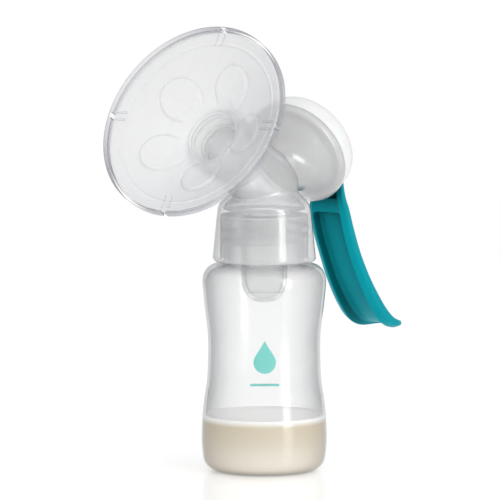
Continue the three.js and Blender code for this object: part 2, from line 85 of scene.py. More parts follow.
def axis_matrix(foot, axis):
    """Places what is built round Z, in metres, onto an axis that leans in the XZ plane."""
    return Matrix.Translation(foot) @ Matrix.Rotation(math.atan2(axis[0], axis[2]), 4, "Y")


BOTTLE_AXIS = Matrix.Identity(4)
SHIELD_AXIS = axis_matrix(SHIELD_FOOT, joints["shield_pull"]["axis"])
CHAMBER_AXIS = axis_matrix(JUNCTION, joints["handle_swivel"]["axis"])


# ---------- mesh helpers ----------
def piece_from(name, verts, faces, place=BOTTLE_AXIS, sharp=35):
    """A linked mesh object from points in mm. Edges steeper than `sharp` degrees stay crisp."""
    mesh = bpy.data.meshes.new(name)
    mesh.from_pydata([place @ (Vector(v) * MM) for v in verts], [], faces)
    tidy = bmesh.new()
    tidy.from_mesh(mesh)
    bmesh.ops.recalc_face_normals(tidy, faces=tidy.faces)
    tidy.to_mesh(mesh)
    tidy.free()
    mesh.shade_smooth()
    mesh.set_sharp_from_angle(angle=math.radians(sharp))
    piece = bpy.data.objects.new(name, mesh)
    bpy.context.scene.collection.objects.link(piece)
    return piece


def eased(points, reach=0.5, steps=4, closed=True):
    """A profile whose corners are eased into short curves that begin `reach` mm before each corner.
    A point may carry its own reach as a third number."""
    out = []
    for i, point in enumerate(points):
        here = Vector(point[:2])
        own = point[2] if len(point) > 2 else reach
        if not closed and i in (0, len(points) - 1):
            out.append(here)
            continue
        before = Vector(points[i - 1][:2]) - here
        after = Vector(points[(i + 1) % len(points)][:2]) - here
        start = here + before.normalized() * min(own, before.length * 0.48)
        end = here + after.normalized() * min(own, after.length * 0.48)
        for k in range(steps + 1):
            t = k / steps
            out.append(start * (1 - t) ** 2 + here * 2 * t * (1 - t) + end * t * t)
    return out


def divided(profile, longest, z_from=-math.inf, z_to=math.inf):
    """The profile with its spans between two heights cut so that none is longer than `longest` mm."""
    out = []
    for a, b in zip(profile, profile[1:]):
        out.append(a)
        if z_from <= min(a[1], b[1]) and max(a[1], b[1]) <= z_to:
            cuts = math.ceil((b - a).length / longest)
            out.extend(a.lerp(b, k / cuts) for k in range(1, cuts))
    return [*out, profile[-1]]


def turned(name, profile, place=BOTTLE_AXIS, segments=128, closed=True, shape=None, sharp=35):
    """A lathe of (radius, height) points. `shape` may move a point: it takes and returns radius and
    height, given the angle. An open profile starts and ends on the axis."""
    verts, rings = [], []
    for r, z in profile:
        if r < 1e-6:
            rings.append([len(verts)])
            verts.append((0, 0, z))
            continue
        ring = []
        for k in range(segments):
            a = 2 * math.pi * k / segments
            rr, zz = shape(r, z, a) if shape else (r, z)
            ring.append(len(verts))
            verts.append((rr * math.cos(a), rr * math.sin(a), zz))
        rings.append(ring)
    faces = []
    pairs = list(zip(rings, rings[1:]))
    if closed:
        pairs.append((rings[-1], rings[0]))
    for low, high in pairs:
        for k in range(segments):
            n = (k + 1) % segments
            face = [low[k % len(low)], low[n % len(low)], high[n % len(high)], high[k % len(high)]]
            face = list(dict.fromkeys(face))
            if len(face) > 2:
                faces.append(face)
    return piece_from(name, verts, faces, place, sharp)


def plate(name, outline, y0, y1, place=BOTTLE_AXIS, bevel=0.35):
    """A flat piece: an outline in the XZ plane with thickness from y0 to y1 and eased edges."""
    n = len(outline)
    verts = [(x, y, z) for y in (y0, y1) for x, z in outline]
    faces = [list(range(n)), list(range(n, 2 * n))[::-1]]
    faces += [[i, i + n, (i + 1) % n + n, (i + 1) % n] for i in range(n)]
    piece = piece_from(name, verts, faces, place)
    if bevel:
        soften(piece, bevel)
    return piece


def apply_modifiers(piece):
    """Bakes a piece's modifiers into its mesh."""
    evaluated = piece.evaluated_get(bpy.context.evaluated_depsgraph_get())
    mesh = bpy.data.meshes.new_from_object(evaluated)
    piece.modifiers.clear()
    old, piece.data = piece.data, mesh
    bpy.data.meshes.remove(old)


def soften(piece, width, segments=3, angle=30):
    """Rounds the piece's edges by `width` mm."""
    bevel = piece.modifiers.new("edges", "BEVEL")
    bevel.width = width * MM
    bevel.segments = segments
    bevel.limit_method = "ANGLE"
    bevel.angle_limit = math.radians(angle)
    bevel.harden_normals = True
    apply_modifiers(piece)


def combine(piece, others, operation):
    """Joins other closed pieces to this one, or cuts them away, and drops them."""
    for other in others:
        mod = piece.modifiers.new("combine", "BOOLEAN")
        mod.operation = operation
        mod.solver = "EXACT"
        mod.object = other
        apply_modifiers(piece)
        bpy.data.objects.remove(other)


def join(piece, *others):
    """Puts other pieces' faces into this one, as they are."""
    merged = bmesh.new()
    merged.from_mesh(piece.data)
    for other in others:
        merged.from_mesh(other.data)
        bpy.data.objects.remove(other)
    merged.to_mesh(piece.data)
    merged.free()
    return piece


def circle(cx, cz, r, count=32, start=0.0, sweep=360.0):
    steps = count if sweep < 360 else count - 1
    return [
        (
            cx + r * math.cos(math.radians(start + sweep * k / (steps if sweep < 360 else count))),
            cz + r * math.sin(math.radians(start + sweep * k / (steps if sweep < 360 else count))),
        )
        for k in range(steps + 1)
    ]


def smoothstep(edge0, edge1, x):
    t = min(max((x - edge0) / (edge1 - edge0), 0.0), 1.0)  # also runs downhill when edge1 < edge0
    return t * t * (3 - 2 * t)


# ---------- materials ----------
class Nodes:
    """A short way to write a node tree."""

    def __init__(self, name):
        self.material = bpy.data.materials.new(name)
        self.material.use_nodes = True
        self.tree = self.material.node_tree
        self.tree.nodes.clear()
        self.output = self.add("ShaderNodeOutputMaterial")
        self.place = self.add("ShaderNodeTexCoord").outputs["Object"]

    def add(self, kind, settings=None, **inputs):
        node = self.tree.nodes.new(kind)
        for key, value in (settings or {}).items():
            setattr(node, key, value)
        for key, value in inputs.items():
            self.set(node, key.replace("_", " "), value)
        return node

    def set(self, node, key, value):
        socket = node.inputs[int(key)] if key.isdigit() else node.inputs[key]
        if isinstance(value, bpy.types.NodeSocket):
            self.tree.links.new(value, socket)
        elif isinstance(value, tuple) and len(value) == 3 and socket.type == "RGBA":
            socket.default_value = (*value, 1)
        else:
            socket.default_value = value

    def noise(self, size, detail=3.0, stretch=(1, 1, 1)):
        """Noise whose blobs are about `size` mm across."""
        scaled = self.add("ShaderNodeMapping", Vector=self.place, Scale=stretch).outputs[0]
        return self.add(
            "ShaderNodeTexNoise", Vector=scaled, Scale=1 / (size * MM), Detail=detail, Roughness=0.6
        ).outputs["Fac"]

    def between(self, value, low, high, from_low=0.0, from_high=1.0):
        """value, mapped smoothly from one range to another."""
        node = self.add("ShaderNodeMapRange", {"interpolation_type": "SMOOTHSTEP"}, Value=value)
        for key, number in (
            ("From Min", from_low), ("From Max", from_high), ("To Min", low), ("To Max", high),
        ):
            self.set(node, key, number)
        return node.outputs[0]

    def colours(self, value, *stops):
        """A colour ramp between two (position, colour) stops."""
        ramp = self.add("ShaderNodeValToRGB", Fac=value)
        for element, (position, colour) in zip(ramp.color_ramp.elements, stops):
            element.position = position
            element.color = (*colour, 1)
        return ramp.outputs["Color"]

    def math(self, operation, a, b=0.0):
        node = self.add("ShaderNodeMath", {"operation": operation, "use_clamp": False})
        self.set(node, "0", a)
        self.set(node, "1", b)
        return node.outputs[0]

    def bump(self, height, depth, normal=None):
        """A bump of `depth` mm."""
        node = self.add("ShaderNodeBump", Height=height, Strength=1.0, Distance=depth * MM)
        if normal is not None:
            self.set(node, "Normal", normal)
        return node.outputs[0]

    def edge(self, power):
        """0 where the surface faces the viewer, 1 where it is seen edge on."""
        facing = self.add("ShaderNodeLayerWeight", Blend=0.5).outputs["Facing"]
        return self.math("POWER", facing, power)

    def from_inside(self):
        """1 where a surface is seen from its inner side, else 0."""
        return self.add("ShaderNodeNewGeometry").outputs["Backfacing"]

    def hollow_shade(self, reach, dark, shut, clear, alone=True):
        """Painted shade: falls from 1 to `dark` in corners and hollows of the piece about `reach` mm deep, and
        darkens the colour there. A place open to a share `shut` of its sky is at its darkest, and one open to
        a share `clear` isn't shaded.
        Unless `alone`, the pieces round it count as well and paint their shadow on it."""
        node = self.add(
            "ShaderNodeAmbientOcclusion", {"only_local": alone, "samples": 8}, Distance=reach * MM,
        )
        shade = self.between(node.outputs["AO"], dark, 1, shut, clear)
        return self.math("MAXIMUM", shade, self.from_inside())

    def shaded(self, colour, amount):
        """A colour made darker by an amount from 0 to 1."""
        node = self.add("ShaderNodeMix", {"data_type": "RGBA", "blend_type": "MULTIPLY"}, Factor=1.0)
        self.set(node, "6", colour)
        self.set(node, "7", amount)
        return node.outputs[2]

    def mix(self, factor, a, b):
        node = self.add("ShaderNodeMixShader")
        self.set(node, "0", factor)
        self.set(node, "1", a)
        self.set(node, "2", b)
        return node.outputs[0]

    def done(self, shader):
        self.tree.links.new(shader, self.output.inputs["Surface"])
        return self.material


def linear(*srgb):
    """A colour given as 0-255 screen values."""
    return tuple((c / 255 / 12.92) if c <= 10 else ((c / 255 + 0.055) / 1.055) ** 2.4 for c in srgb)


def see_through(
    name, body, rim, cover, tint, rough, grain, gloss=1.0, power=2.2, subsurface=0.0, hollow_shade=None,
    inner=0.25,
):
    """Clear or frosted plastic. `body` is its own colour face on, and `rim` the darker colour it turns to edge
    on, which is painted shade along its outline; `cover` says how much of them hides what is behind, face on
    and edge on, and `tint` what it passes edge on.
    The hollow settings, if given, darken its hollows with painted shade, and `inner` says how much a surface
    seen from inside the material counts, so that a wall isn't drawn twice."""
    n = Nodes(name)
    edge = n.edge(power)
    cloud = n.noise(9, 4)
    fine = n.noise(grain, 2)
    # the colour darkens towards rim where the surface is seen edge on: painted shade along the outline
    own = n.colours(edge, (0.0, linear(*body)), (1.0, linear(*rim)))
    # painted shade in the hollows
    if hollow_shade:
        own = n.shaded(own, n.hollow_shade(*hollow_shade))
    normal = n.bump(fine, 0.012, n.bump(cloud, 0.05))
    solid = n.add(
        "ShaderNodeBsdfPrincipled", Base_Color=own, Normal=normal,
        Roughness=n.between(cloud, rough * 0.85, rough * 1.25),
        Specular_IOR_Level=0.35, Subsurface_Weight=subsurface, Subsurface_Scale=0.004,
    ).outputs[0]
    passed = n.colours(edge, (0.0, (1, 1, 1)), (1.0, linear(*tint)))
    clear = n.add("ShaderNodeBsdfTransparent", Color=passed).outputs[0]
    amount = n.math("MULTIPLY", n.between(edge, cover[0], cover[1]), n.between(cloud, 0.93, 1.07))
    amount = n.math("MULTIPLY", amount, n.between(n.from_inside(), 1, inner))
    shader = n.mix(amount, clear, solid)
    shine = n.add("ShaderNodeBsdfGlossy", Roughness=rough, Normal=normal).outputs[0]
    mirror = n.add("ShaderNodeFresnel", IOR=1.48, Normal=normal).outputs[0]
    from_outside = n.math("SUBTRACT", 1.0, n.from_inside())
    outer_only = n.math("MULTIPLY", from_outside, n.math("MULTIPLY", mirror, gloss))
    return n.done(n.mix(outer_only, shader, shine))


def moulded(name, body, variation, rough, grain, hollow_shade=None, gloss=0.12):
    """Opaque moulded plastic with a fine spark-eroded grain and faint flow clouds, and painted shade in its
    hollows when asked for.
    """
    n = Nodes(name)
    cloud = n.noise(14, 5, (1, 1, 0.35))
    fine = n.noise(grain, 2)
    own = n.colours(cloud, (0.3, linear(*body)), (0.75, linear(*variation)))
    # painted shade in the hollows
    if hollow_shade:
        own = n.shaded(own, n.hollow_shade(*hollow_shade))
    return n.done(
        n.add(
            "ShaderNodeBsdfPrincipled", Base_Color=own,
            Roughness=n.between(n.noise(6, 4), rough * 0.8, rough * 1.3),
            Normal=n.bump(fine, 0.02, n.bump(cloud, 0.04)), Specular_IOR_Level=gloss,
        ).outputs[0]
    )


PAINTED_TOP_GLOW = 0.1  # painted light: how strongly the milk's pale top band glows


def milk_material():
    """Cream-coloured milk with fine bubbles on its surface; painted light makes its top band pale and glowing,
    painted shade its outline golden.
    """
    n = Nodes("milk")
    cloud = n.noise(16, 3)
    height = n.add("ShaderNodeSeparateXYZ", Vector=n.place).outputs["Z"]
    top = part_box("milk")[1].z
    # the band at the top of the milk is painted near white and made to glow: painted light on its lit top
    painted_top_light = n.between(height, 0, 1, top - 3.5 * MM, top - 0.2 * MM)
    depth = n.between(height, 0, 1, 4 * MM, top - 4 * MM)
    cream = n.colours(
        n.math("ADD", depth, n.math("MULTIPLY", n.math("SUBTRACT", cloud, 0.5), 0.2)),
        (0.0, linear(244, 238, 224)), (1.0, linear(222, 210, 184)),
    )
    # the milk turns dark golden where it is seen edge on: painted shade along its outline
    gold_edge_shade = n.add("ShaderNodeMix", {"data_type": "RGBA"}, Factor=n.edge(1.5))
    n.set(gold_edge_shade, "6", cream)
    n.set(gold_edge_shade, "7", (*linear(164, 138, 90), 1))
    own = n.add("ShaderNodeMix", {"data_type": "RGBA"}, Factor=painted_top_light)
    n.set(own, "6", gold_edge_shade.outputs[2])
    n.set(own, "7", (*linear(254, 253, 250), 1))
    bubbles = n.add("ShaderNodeTexVoronoi", Vector=n.place, Scale=1 / (1.3 * MM)).outputs["Distance"]
    ripple = n.math("MULTIPLY", bubbles, n.between(height, 0, 1, top - 0.8 * MM, top - 0.3 * MM))
    return n.done(
        n.add(
            "ShaderNodeBsdfPrincipled", Base_Color=own.outputs[2],
            Roughness=n.between(cloud, 0.45, 0.55), Normal=n.bump(ripple, 0.006), Specular_IOR_Level=0.1,
            Emission_Color=(1, 1, 1), Emission_Strength=n.math("MULTIPLY", painted_top_light, PAINTED_TOP_GLOW),
            Subsurface_Weight=0.12, Subsurface_Scale=0.004, Subsurface_Radius=(1.0, 0.8, 0.5),
        ).outputs[0]
    )


# each of these plastics turns to its second, darker colour where seen edge on: painted shade along its outline
CLEAR_BOTTLE = see_through(
    "clear_bottle", (232, 233, 234), (182, 183, 184), (0.12, 0.5), (206, 207, 208), 0.12, 1.2, gloss=0.8,
    power=1.7, inner=0.6,
)
CLEAR_SHIELD = see_through(
    "clear_shield", (244, 245, 246), (186, 188, 196), (0.04, 0.4), (218, 220, 226), 0.07, 1.0, gloss=0.8,
    inner=0.5,
)
CLEAR_COVER = see_through(
    "clear_cover", (240, 241, 244), (74, 78, 94), (0.0, 0.75), (150, 154, 170), 0.04, 1.0, gloss=0.7,
    power=3.0,
)
# the cover's side wall turns near black edge on: a painted dark line along its outline
COVER_WALL = see_through(
    "cover_wall", (232, 234, 240), (24, 27, 40), (0.06, 0.97), (84, 88, 108), 0.05, 1.0, gloss=0.7,
    power=1.7, inner=1.0,
)
# the cushion's throat and other hollows get painted shade
SILICONE = see_through(
    "white_silicone", (254, 254, 253), (204, 206, 208), (0.55, 0.92), (236, 237, 240), 0.4, 0.9, gloss=0.25,
    hollow_shade=(16, 0.42, 0.2, 0.8), inner=0.1,
)
CLEAR_SILICONE = see_through(
    "clear_silicone", (232, 236, 233), (160, 166, 163), (0.25, 0.8), (206, 212, 210), 0.22, 0.8, gloss=0.8,
    inner=0.4,
)
# the pump body's hollows and inner faces get faint painted shade
TRANSLUCENT_BODY = see_through(
    "translucent_body", (226, 227, 228), (146, 148, 149), (0.42, 0.92), (192, 193, 195), 0.13, 0.7,
    gloss=1.0, power=2.2, hollow_shade=(14, 0.86, 0.1, 0.8), inner=0.12,
)
# a darker copy of the body's plastic for the collar thread, whose edges show as painted shade lines
THREAD = see_through(
    "collar_thread", (230, 231, 233), (132, 134, 136), (0.2, 0.85), (170, 171, 173), 0.2, 0.7, gloss=0.3,
    power=1.2, inner=1.0,
)
FROSTED = see_through(
    "frosted_cap", (241, 241, 241), (206, 207, 208), (0.96, 1.0), (240, 240, 242), 0.3, 0.6, gloss=0.5,
    subsurface=0.2, power=2.6,
)
# the handle's channel, and its head under the cap and bowl, get strong painted shade, with the painted shadow
# of the pieces round it
TEAL = moulded(
    "teal_plastic", (0, 148, 161), (0, 155, 168), 0.34, 0.6, hollow_shade=(24, 0.14, 0.46, 1.0, False), gloss=0.05,
)
WHITE = moulded("white_plastic", (236, 237, 237), (242, 242, 242), 0.35, 0.6)
PRINT = moulded("teal_print", (128, 208, 200), (134, 212, 205), 0.5, 0.5)
MILK = milk_material()


def settle(piece, body, material, node=None):
    """Gives a piece its material and its place in the frame."""
    piece.data.materials.clear()
    piece.data.materials.append(material)
    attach(piece, body)
    if node:
        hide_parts(node)
    return piece


# ---------- bottle ----------
WALL, BOTTLE_FLOOR = 1.3, 2.2
NECK_R, NECK_BORE_R, NECK_TOP = 17.6, 16.1, 112.6
PITCH, TURNS, THREAD_Z, THREAD_CREST_R = 4.3, 2, 98.3, 19
FLANK = [
    (28, 13.2), (27.6, 23.9), (26.7, 32), (25.3, 40), (24.9, 50.7), (24.9, 58.8), (25.3, 64.1),
    (26.4, 72.2), (26.9, 77.6), (27.6, 84.3),
]


def threaded(root, crest, start_z):
    """Moves a wall of radius `root` out, or in, to a helical thread of radius `crest`."""
    def shape(r, z, a):
        turn = a / (2 * math.pi)
        nearest = min(range(TURNS), key=lambda k: abs(z - start_z - PITCH * (turn + k)))
        off = abs(z - start_z - PITCH * (turn + nearest))
        along = turn + nearest
        fade = smoothstep(0, 0.15, along) * smoothstep(0, 0.15, TURNS - along)
        if abs(r - root) > 0.05:
            return r, z
        return r + (crest - root) * (1 - smoothstep(0.35, 1.0, off)) * fade, z
    return shape


def wide(points, reach):
    """The points of a profile, each with this reach for easing."""
    return [(*p[:2], reach) for p in points]


bottle_outside = [
    (22, 0), (24, 1.1, 1), (25.8, 2.5, 1.5), (27.1, 5.1, 2), *wide(FLANK, 5), (26.8, 88.3, 2),
    (24.6, 91, 1.6), (21.5, 92.2), (18.4, 92.9, 0.6), (NECK_R, 94, 0.6), (NECK_R, NECK_TOP, 0.3),
]
bottle_inside = [
    (NECK_BORE_R, NECK_TOP, 0.3), (NECK_BORE_R, 93.2), (16.6, 91.7), (19, 90.9), (23.4, 89.4, 1.5),
    (25.4, 87.2, 2), *wide([(r - WALL, z) for r, z in reversed(FLANK)], 5), (25.7, 5.6, 2),
    (24, 3.4, 1), (22, BOTTLE_FLOOR, 0.8), (0, BOTTLE_FLOOR),
]
bottle_base = [(0, 0.35), (18.5, 0.35, 0.3), (19.2, 0, 0.3)]  # a shallow hollow inside a foot ring
bottle_profile = eased([*bottle_base, *bottle_outside, *bottle_inside], closed=False)
bottle_profile = divided(bottle_profile, 0.22, 96, 110)
bottle = turned(
    "bottle_shell", bottle_profile, closed=False, segments=144,
    shape=threaded(NECK_R, THREAD_CREST_R, THREAD_Z),
)
settle(bottle, "bottle", CLEAR_BOTTLE, "bottle")

MILK_TOP = 25
FILM = 0.55  # the milk is drawn to this near the outer wall, where the curved wall shows it
milk_side = [(p[0] - FILM, p[1], 3) for p in ((24, 1.1), (25.8, 2.5), (27.1, 5.1), (28, 13.2))]
milk_profile = eased(
    [
        (0, 0.9), (22, 0.9, 1), *milk_side, (27, MILK_TOP - 0.9, 0.6), (27.1, MILK_TOP - 0.1, 0.3),
        (26.4, MILK_TOP, 0.3), (24, MILK_TOP - 0.35, 1), (0, MILK_TOP - 0.4),
    ],
    closed=False,
)
milk = turned("milk_fill", milk_profile, closed=False, segments=128)
settle(milk, "bottle", MILK, "milk")

SEAL_BORE_R, SEAL_R, SEAL_FOOT, SEAL_TOP = 16.2, 17.7, 112.9, 113.9
seal_section = [(SEAL_BORE_R, SEAL_FOOT), (SEAL_R, SEAL_FOOT), (SEAL_R, SEAL_TOP), (SEAL_BORE_R, SEAL_TOP)]
seal = turned("seal_ring", eased(seal_section, 0.3), segments=96)
settle(seal, "seal", SILICONE, "neck_seal")


def on_bottle(across, height, lift=0.06):
    """A point on the front of the bottle: mm along its surface to the right, and mm up."""
    outline = [p for p in bottle_profile[: len(bottle_profile) // 2] if 12 < p[1] < 90]
    a, b = next((a, b) for a, b in zip(outline, outline[1:]) if a[1] <= height <= b[1])
    r = a[0] + (b[0] - a[0]) * (height - a[1]) / max(b[1] - a[1], 1e-6) + lift
    turn = math.radians(PRINT_TURN) + across / r
    return (r * math.cos(turn), r * math.sin(turn), height)


PRINT_TURN = -144  # degrees round the bottle from +X
DROP_FOOT, DROP_R, DROP_TALL = 46, 5, 14.5


def printed(name, outline, rings=8):
    """A print on the bottle: a filled outline of (across, height) points, bent onto its wall."""
    centre = Vector((sum(p[0] for p in outline), sum(p[1] for p in outline))) / len(outline)
    verts, faces = [on_bottle(*centre)], []
    count = len(outline)
    for ring in range(1, rings + 1):
        for p in outline:
            at = centre.lerp(Vector(p), ring / rings)
            verts.append(on_bottle(*at))
    for k in range(count):
        n = (k + 1) % count
        faces.append([0, 1 + k, 1 + n])
        for ring in range(rings - 1):
            base = 1 + ring * count
            faces.append([base + k, base + count + k, base + count + n, base + n])
    piece = piece_from(name, verts, faces)
    return settle(piece, "bottle", PRINT)


def drop_outline(count=48):
    """A drop as (across, height) points, from its foot round."""
    points = []
    for k in range(count):
        a = 2 * math.pi * k / count - math.pi / 2
        pull = max(math.sin(a), 0) ** 3  # draws the upper half out to a point
        across = DROP_R * math.cos(a) * (1 - 0.75 * pull)
        height = DROP_FOOT + DROP_R + DROP_R * math.sin(a) + (DROP_TALL - 2 * DROP_R) * pull
        points.append((across, height))
    return points


LINE_HALF, LINE_Z, LINE_R = 6, 41, 0.55
printed("print_drop", drop_outline())
line_left = circle(-LINE_HALF, LINE_Z, LINE_R, 12, 90, 180)
line_right = circle(LINE_HALF, LINE_Z, LINE_R, 12, 270, 180)
printed("print_line", line_left + line_right, 2)

# ---------- pump body ----------
JUNCTION_Z = 127  # where the chamber's axis meets the bottle's
COLLAR_FOOT, COLLAR_BORE_R, COLLAR_CREST_R = 93.5, 19.5, 18
CEILING, PLATE_TOP = 114.2, 116.2  # the plate over the bottle's neck
DOME_R, DOME_WALL = 15, 1.8
SOCKET_R, SOCKET_LIP_R, SOCKET_BORE_R, DUCT_R = 14.3, 15.2, 12.7, 10.9
SEAT, MOUTH = 19.5, 34  # along the shield's axis
BOWL_R, BOWL_BORE_R, BOWL_LEDGE, BOWL_LIP = 24.8, 23.2, 26.2, 29.4
SPOUT_R, SPOUT_BORE_R, SPOUT_FOOT = 8.6, 7, 103
body_outer = turned(
    "pump_body_shell",
    eased([
        (0, COLLAR_FOOT), (22.4, COLLAR_FOOT, 0.4), (22.9, 94.2, 0.5), (22.75, 96, 2), (20.7, 116.5, 2.5),
        (20.2, 118.3, 1.5), (18.8, 120.2, 1.5), (16.5, 122.2, 1.5), (14.8, 124.6, 1.5),
        (14.8, JUNCTION_Z), (0, JUNCTION_Z),
    ], closed=False), closed=False, segments=128,
)


def ball(name, r, cut_below=None):
    """A ball round the junction, cut flat below a height if one is given."""
    points = []
    for a in range(0, 181, 4):
        turn = math.radians(a)
        points.append(Vector((abs(r * math.sin(turn)), JUNCTION_Z - r * math.cos(turn))))
    points[0].x = points[-1].x = 0
    if cut_below is not None:
        edge = math.sqrt(r * r - (JUNCTION_Z - cut_below) ** 2)
        points = [Vector((0, cut_below)), Vector((edge, cut_below)), *[p for p in points if p.y > cut_below]]
    return turned(name, points, closed=False, segments=96)


socket = turned(
    "socket",
    eased([
        (0, 1), (SOCKET_R, 1), (SOCKET_R, MOUTH - 3, 0.5), (SOCKET_LIP_R, MOUTH - 2.2, 0.5),
        (SOCKET_LIP_R, MOUTH, 0.4), (0, MOUTH),
    ], closed=False),
    SHIELD_AXIS, closed=False, segments=96,
)
bowl = turned(
    "bowl",
    eased([
        (0, 2), (11.6, 2), (11.8, 10, 3), (13.2, 15, 3), (16.6, 19, 2.5), (20.6, 22.3, 2),
        (23.4, 24.6, 1.5), (24.6, 26, 0.6), (BOWL_R, 26.8, 0.4), (BOWL_R, 29.0, 0.3),
        (24.3, BOWL_LIP, 0.3), (0, BOWL_LIP),
    ], closed=False), CHAMBER_AXIS, closed=False, segments=128,
)
combine(body_outer, [ball("dome", DOME_R), socket, bowl], "UNION")
cuts = [
    turned(
        "neck_room",
        eased([(0, 92), (COLLAR_BORE_R, 92), (COLLAR_BORE_R, CEILING, 0.4), (0, CEILING)], closed=False),
        closed=False, segments=128,
    ),
    turned(
        "collar_cavity",
        eased([
            (0, PLATE_TOP), (18.4, PLATE_TOP), (18, 117.6), (16.9, 119, 1), (14.8, 120.8, 1),
            (13, 123.6, 1), (13, JUNCTION_Z), (0, JUNCTION_Z),
        ], closed=False), closed=False, segments=96,
    ),
    ball("dome_room", DOME_R - DOME_WALL, PLATE_TOP),
    turned(
        "socket_bore",
        eased([
            (0, 6), (DUCT_R, 6), (DUCT_R, SEAT), (SOCKET_BORE_R, SEAT), (SOCKET_BORE_R, MOUTH + 1),
            (0, MOUTH + 1),
        ], 0.3, closed=False),
        SHIELD_AXIS, closed=False, segments=96,
    ),
    turned(
        "bowl_room",
        eased([
            (0, 8), (9.8, 8), (9.9, 13, 2), (12, 17.4, 2), (16, 21, 2), (19.6, 24, 1.5),
            (20.8, BOWL_LEDGE, 0.4), (BOWL_BORE_R, BOWL_LEDGE, 0.2), (BOWL_BORE_R, 31), (0, 31),
        ], closed=False), CHAMBER_AXIS, closed=False, segments=128,
    ),
]
combine(body_outer, cuts, "DIFFERENCE")
SPOUT_TOP = CEILING + 0.5  # sunk into the plate
spout_section = [
    (SPOUT_BORE_R, SPOUT_FOOT), (SPOUT_R - 0.3, SPOUT_FOOT), (SPOUT_R, SPOUT_FOOT + 0.6),
    (SPOUT_R, SPOUT_TOP), (SPOUT_BORE_R, SPOUT_TOP),
]
spout = turned("spout", eased(spout_section, 0.2), segments=64)
combine(body_outer, [spout], "UNION")
bore_section = [Vector(p) for p in ((0, 102), (SPOUT_BORE_R, 102), (SPOUT_BORE_R, 117.5), (0, 117.5))]
spout_bore = turned("spout_bore", bore_section, closed=False, segments=64)
combine(body_outer, [spout_bore], "DIFFERENCE")


def blend_edges(piece, voxel, repeat):
    """Remeshes a piece evenly and eases the creases where its parts meet."""
    remesh = piece.modifiers.new("even", "REMESH")
    remesh.mode = "VOXEL"
    remesh.voxel_size = voxel * MM
    remesh.use_smooth_shade = True
    smooth = piece.modifiers.new("ease", "SMOOTH")
    smooth.factor = 0.5
    smooth.iterations = repeat
    apply_modifiers(piece)
    piece.data.shade_smooth()


blend_edges(body_outer, 0.45, 8)


def ridge(name, root, crest, start_z, half_root, half_crest):
    """A helical thread ridge on its own, sunk a little into the wall that carries it."""
    sunk = root + math.copysign(0.3, root - crest)
    verts, steps = [], TURNS * 96
    for i in range(steps + 1):
        turn = TURNS * i / steps
        rise = smoothstep(0, 0.25, turn) * smoothstep(TURNS, TURNS - 0.25, turn)
        top = root + (crest - root) * rise
        z, a = start_z + PITCH * turn, 2 * math.pi * turn
        lower = [(sunk, -half_root), (root, -half_root), (top, -half_crest)]
        section = [*lower, *[(r, -dz) for r, dz in reversed(lower)]]
        verts += [(r * math.cos(a), r * math.sin(a), z + dz) for r, dz in section]
    n = 6  # points round the section
    faces = [list(range(n)), list(range(steps * n, steps * n + n))[::-1]]
    for i in range(0, steps * n, n):
        faces += [[i + k, i + (k + 1) % n, i + n + (k + 1) % n, i + n + k] for k in range(n)]
    return piece_from(name, verts, faces, sharp=30)


settle(body_outer, "pump", TRANSLUCENT_BODY, "pump_body")
# the thread ridge takes the darker copy, for its painted shade lines
body_outer.data.materials.append(THREAD)
collar_thread = ridge("collar_thread", COLLAR_BORE_R, COLLAR_CREST_R, THREAD_Z + PITCH / 2, 0.85, 0.3)
for face in collar_thread.data.polygons:
    face.material_index = 1
join(body_outer, collar_thread)

# ---------- duckbill valve ----------
VALVE_R, VALVE_TIP, VALVE_TOP, VALVE_TURN = 10.2, 74.8, 112, -54
VALVE_WALL, FLANGE_R, FLANGE_T = 1.3, 11.6, 2.2
BILL_HALF, BILL_ROOM, BILL_TALL = 1.7, 0.35, 15  # half widths at the tip, and how high the bill widens


def cup(r, tip, top, rim=()):
    """A round-ended cup's profile, from its tip up to its rim."""
    return [
        (0, tip), (0.4 * r, tip + 0.5, 2), (0.74 * r, tip + 2.6, 2), (0.94 * r, tip + 6.2, 2),
        (r, tip + 10.7, 3), (r, top), *rim,
    ]


def valve_mesh():
    """The duckbill cup as one skin with an outer and an inner wall."""
    flange = [(FLANGE_R, VALVE_TOP - FLANGE_T), (FLANGE_R, VALVE_TOP)]
    outer_cup = cup(VALVE_R, VALVE_TIP, VALVE_TOP - FLANGE_T, flange)
    inner_cup = cup(VALVE_R - VALVE_WALL, VALVE_TIP + 1.5, VALVE_TOP)
    outside, inside = (divided(eased(p, 0.3, closed=False), 1) for p in (outer_cup, inner_cup))
    piece = turned("valve_cup", [*outside, *reversed(inside)], closed=False, segments=128)
    for v in piece.data.vertices:
        z, y = v.co.z / MM, v.co.y / MM
        r = math.hypot(v.co.x, v.co.y) / MM
        inner = z > VALVE_TIP + 1.4 and r < VALVE_R - 1.2
        widening = min(max((z - VALVE_TIP) / BILL_TALL, 0), 1)
        limit = (BILL_ROOM if inner else BILL_HALF) + (VALVE_R + 0.6 - BILL_HALF) * widening
        if abs(y) > limit:
            v.co.y = math.copysign(limit + 0.05 * (abs(y) - limit), y) * MM
    piece.data.transform(Matrix.Rotation(math.radians(VALVE_TURN), 4, "Z"))
    piece.data.update()
    return piece


valve = valve_mesh()
valve.data.set_sharp_from_angle(angle=math.radians(30))
settle(valve, "pump", CLEAR_SILICONE, "duckbill_valve")

# ---------- breast shield ----------
FUNNEL_SLOPE = math.radians(23.9)  # from the plane of the rim
SLOPE, LEAN = math.tan(FUNNEL_SLOPE), math.cos(FUNNEL_SLOPE)
SHIELD_WALL, CUSHION_T, RIM_R, CUSHION_R = 1.65, 1.5, 43.4, 43.1
FUNNEL_FRONT, FUNNEL_R = 48.4, 14  # front face of the cushion where the funnel begins


def front_of_cushion(r):
    """Height of the cushion's front along the shield's axis, at a radius."""
    return FUNNEL_FRONT + (r - FUNNEL_R) * SLOPE


def back_of_cushion(r):
    return front_of_cushion(r) - CUSHION_T / LEAN


def front_of_shield(r):
    return back_of_cushion(r) - GAP / LEAN


def back_of_shield(r):
    return front_of_shield(r) - SHIELD_WALL


